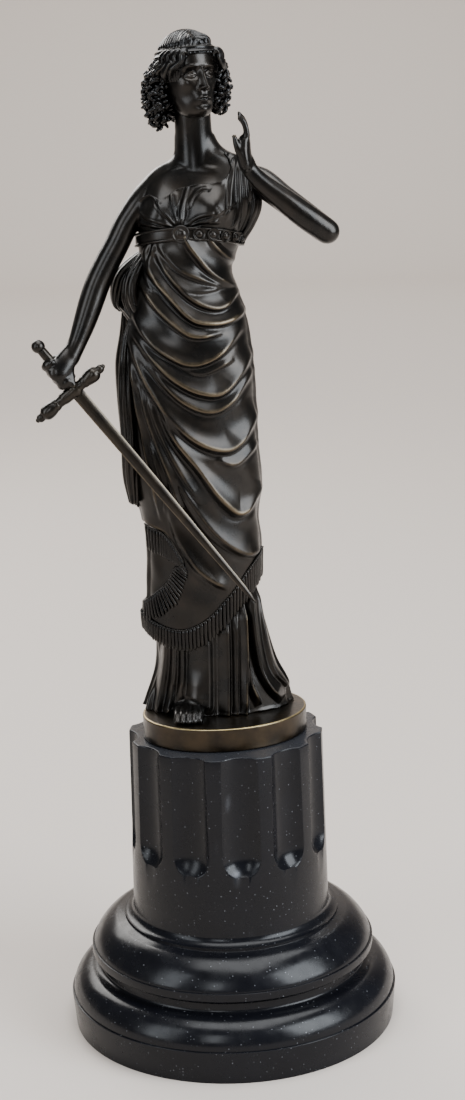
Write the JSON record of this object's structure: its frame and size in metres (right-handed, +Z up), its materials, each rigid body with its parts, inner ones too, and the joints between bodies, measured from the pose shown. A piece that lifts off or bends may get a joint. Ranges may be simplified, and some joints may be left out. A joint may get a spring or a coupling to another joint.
{
  "type": "bronze statuette on a marble plinth",
  "caption": "Draped classical woman in dark bronze holding a long sword downwards, one hand raised, on a fluted black marble plinth.",
  "frame": {"origin": "centre of the round underside of the plinth, on the surface it stands on", "axes": "+Z up along the plinth's turned axis; the figure faces -Y, its raised hand is on +X"},
  "size_m": [0.1807, 0.1786, 0.5291],
  "materials": {
    "black_marble": "polished black marble with fine pale specks and a few scuffs",
    "patinated_bronze": "hollow cast bronze, dark brown patina rubbed lighter on the fold crests and the base's rim",
    "sword_bronze": "cast bronze, dark brown patina with lighter edges"
  },
  "bodies": {
    "root": {"marble_plinth": "black_marble", "figure": "patinated_bronze", "sword": "sword_bronze"}
  },
  "joints": []
}
